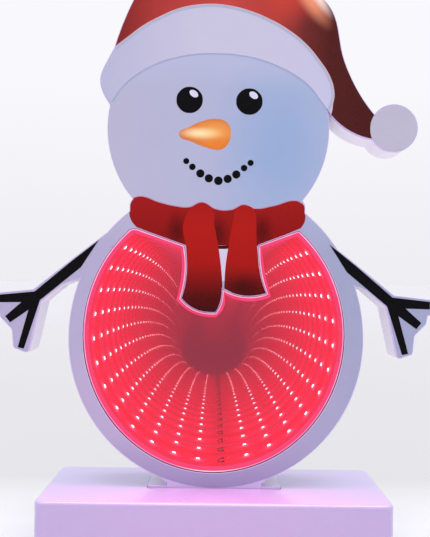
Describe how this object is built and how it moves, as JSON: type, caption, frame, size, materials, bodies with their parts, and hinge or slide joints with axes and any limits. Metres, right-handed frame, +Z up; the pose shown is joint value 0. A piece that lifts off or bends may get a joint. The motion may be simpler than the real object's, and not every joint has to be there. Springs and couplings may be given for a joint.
{
  "type": "infinity mirror snowman lamp",
  "caption": "Flat snowman figure with a lit infinity-mirror belly, printed face, hat and scarf, standing in a slot in a long battery base.",
  "frame": {"origin": "under the middle of the base, at the level the rubber feet stand on", "axes": "+X to the figure's left hand side as the viewer sees the right, +Y to the back, +Z up; the printed face looks along -Y"},
  "size_m": [0.2912, 0.07, 0.3955],
  "materials": {
    "white_plastic": "smooth moulded, satin",
    "printed_film": "satin print",
    "half_mirror": "polished half mirror",
    "red_frame": "satin",
    "back_mirror": "polished",
    "foam_tape": "matt foam",
    "strip": "flexible circuit, satin",
    "steel": "bright",
    "base_plastic": "smooth moulded, satin",
    "cells": "glossy sleeve",
    "nickel": "nickel plated",
    "rubber": "matt",
    "board": "solder mask, satin",
    "chips": "matt",
    "switch_body": "pressed steel",
    "knob": "satin",
    "inlet": "satin",
    "leads": "smooth",
    "connector": "satin",
    "lights": "lit"
  },
  "bodies": {
    "body": {"front_panel": "white_plastic", "face_film": "printed_film", "rear_shell": "white_plastic", "half_mirror": "half_mirror", "mirror_frame": "red_frame", "back_mirror": "back_mirror", "mirror_tape": "foam_tape", "led_strip": "strip", "leds": "lights", "shell_screws": "steel", "base_housing": "base_plastic", "base_plate": "base_plastic", "aa_cells": "cells", "contact_plates": "nickel", "contact_springs": "nickel", "rubber_feet": "rubber", "base_screws": "steel", "foot_screws": "steel", "control_board": "board", "board_screws": "steel", "board_parts": "chips", "slide_switch": "switch_body", "power_inlet": "inlet", "battery_leads": "leads", "led_leads": "leads", "led_plug": "connector", "led_socket": "connector"},
    "door": {"battery_door": "base_plastic"},
    "knob": {"switch_knob": "knob"}
  },
  "joints": [
    {"name": "battery_door_hinge", "type": "hinge", "parent": "body", "child": "door", "pos_m": [-0.092, 0, 0.0036], "axis": [0, 1, 0], "range_deg": [0, 95]},
    {"name": "power_switch", "type": "slide", "parent": "body", "child": "knob", "axis": [1, 0, 0], "range_m": [0, 0.006]}
  ]
}
